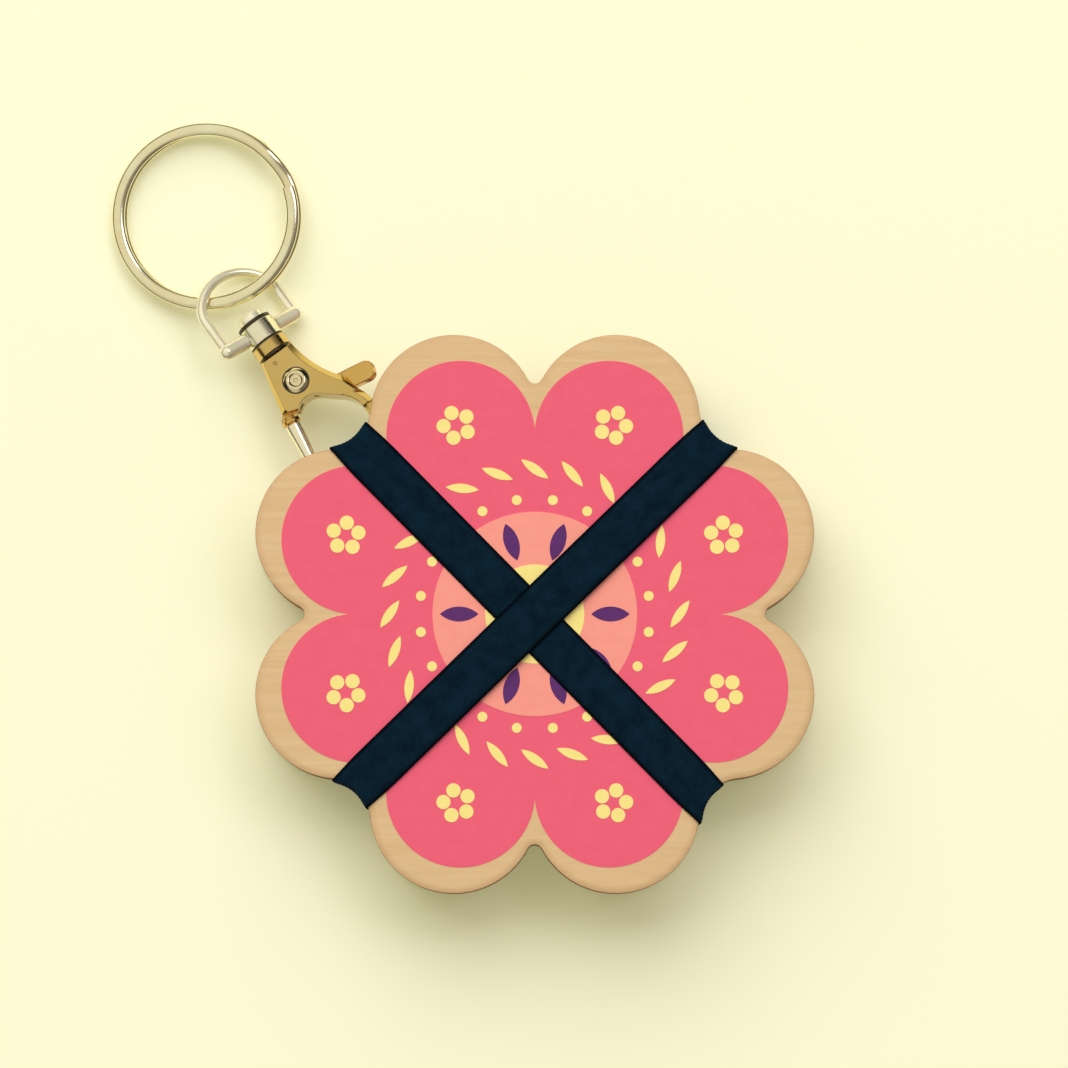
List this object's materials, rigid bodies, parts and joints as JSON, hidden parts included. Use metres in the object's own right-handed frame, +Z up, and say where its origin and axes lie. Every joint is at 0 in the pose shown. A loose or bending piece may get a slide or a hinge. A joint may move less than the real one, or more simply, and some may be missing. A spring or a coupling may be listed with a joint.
{
  "type": "flower press",
  "caption": "Pocket flower press: two flower-shaped plywood boards with cards and blotters between them, crossed elastic straps, and a swivelling trigger clasp with a split key ring.",
  "frame": {"origin": "centre of the flower, on the surface the press lies on, under the crossing of the straps", "axes": "+Z up through the boards, towards the printed face; +Y towards the top of the flower, where the key ring lies to the left; +X to the right"},
  "size_m": [0.1137, 0.1251, 0.018],
  "materials": {
    "plywood": "laser-cut birch plywood, bare, with browned edges",
    "pink_ink": "flat printed ink",
    "salmon_ink": "flat printed ink",
    "purple_ink": "flat printed ink",
    "yellow_ink": "flat printed ink",
    "corrugated_card": "kraft corrugated board",
    "blotting_paper": "soft uncoated paper",
    "elastic": "woven navy elastic",
    "gold_plate": "polished pale gold plating on cast zinc",
    "pale_gold_plate": "bright champagne gold plating on steel",
    "spring_steel": "drawn wire"
  },
  "bodies": {
    "base": {"bottom_board": "plywood", "card_1": "corrugated_card", "blotter_1": "blotting_paper", "inner_strap_base": "elastic", "outer_strap_base": "elastic", "inner_strap_clasp_side": "elastic", "inner_strap_far_side": "elastic", "outer_strap_upper_side": "elastic", "outer_strap_lower_side": "elastic"},
    "lower_leaf": {"blotter_2": "blotting_paper", "card_2": "corrugated_card", "blotter_3": "blotting_paper"},
    "upper_leaf": {"blotter_4": "blotting_paper", "card_3": "corrugated_card", "blotter_5": "blotting_paper"},
    "lid": {"blotter_6": "blotting_paper", "card_4": "corrugated_card", "top_board": "plywood", "print_field": "pink_ink", "print_disc": "salmon_ink", "print_leaves": "purple_ink", "print_blossoms": "yellow_ink", "inner_strap_top": "elastic", "outer_strap_top": "elastic"},
    "clasp": {"clasp_body": "gold_plate", "clasp_rivet": "gold_plate", "swivel_post": "gold_plate", "gate_spring": "spring_steel"},
    "gate": {"gate_lever": "gold_plate"},
    "loop": {"d_loop": "pale_gold_plate"},
    "ring": {"split_ring": "pale_gold_plate"}
  },
  "joints": [
    {"name": "top_board_lift", "type": "slide", "parent": "base", "child": "lid", "axis": [0, 0, 1], "range_m": [0, 0.009], "stiffness_N_per_m": 400, "springref_m": -0.01, "deforming": ["inner_strap_clasp_side", "inner_strap_far_side", "outer_strap_upper_side", "outer_strap_lower_side"]},
    {"name": "lower_leaf_lift", "type": "slide", "parent": "base", "child": "lower_leaf", "axis": [0, 0, 1], "range_m": [0, 0.003]},
    {"name": "upper_leaf_lift", "type": "slide", "parent": "base", "child": "upper_leaf", "axis": [0, 0, 1], "range_m": [0, 0.006]},
    {"name": "clasp_swing", "type": "hinge", "parent": "base", "child": "clasp", "pos_m": [-0.03184, 0.02966, 0.00876], "axis": [0, 0, 1], "range_deg": [-15, 15]},
    {"name": "gate_pivot", "type": "hinge", "parent": "clasp", "child": "gate", "pos_m": [-0.03847, 0.03774, 0.00692], "axis": [-0.1023, 0.1403, 0.9848], "range_deg": [0, 7], "stiffness_Nm_per_rad": 0.05, "springref_deg": -20.05, "deforming": ["gate_spring"]},
    {"name": "loop_swivel", "type": "hinge", "parent": "clasp", "child": "loop", "pos_m": [-0.03847, 0.03774, 0.00692], "axis": [0.5803, -0.7957, 0.1737], "continuous": true},
    {"name": "ring_swing", "type": "hinge", "parent": "loop", "child": "ring", "pos_m": [-0.0466, 0.05302, 0.00278], "axis": [0.8493, 0.4583, 0.2619], "range_deg": [-45, 90]}
  ],
  "couplings": [
    {"joint": "lower_leaf_lift", "follows": "top_board_lift", "ratio": 0.33333},
    {"joint": "upper_leaf_lift", "follows": "top_board_lift", "ratio": 0.66667}
  ]
}
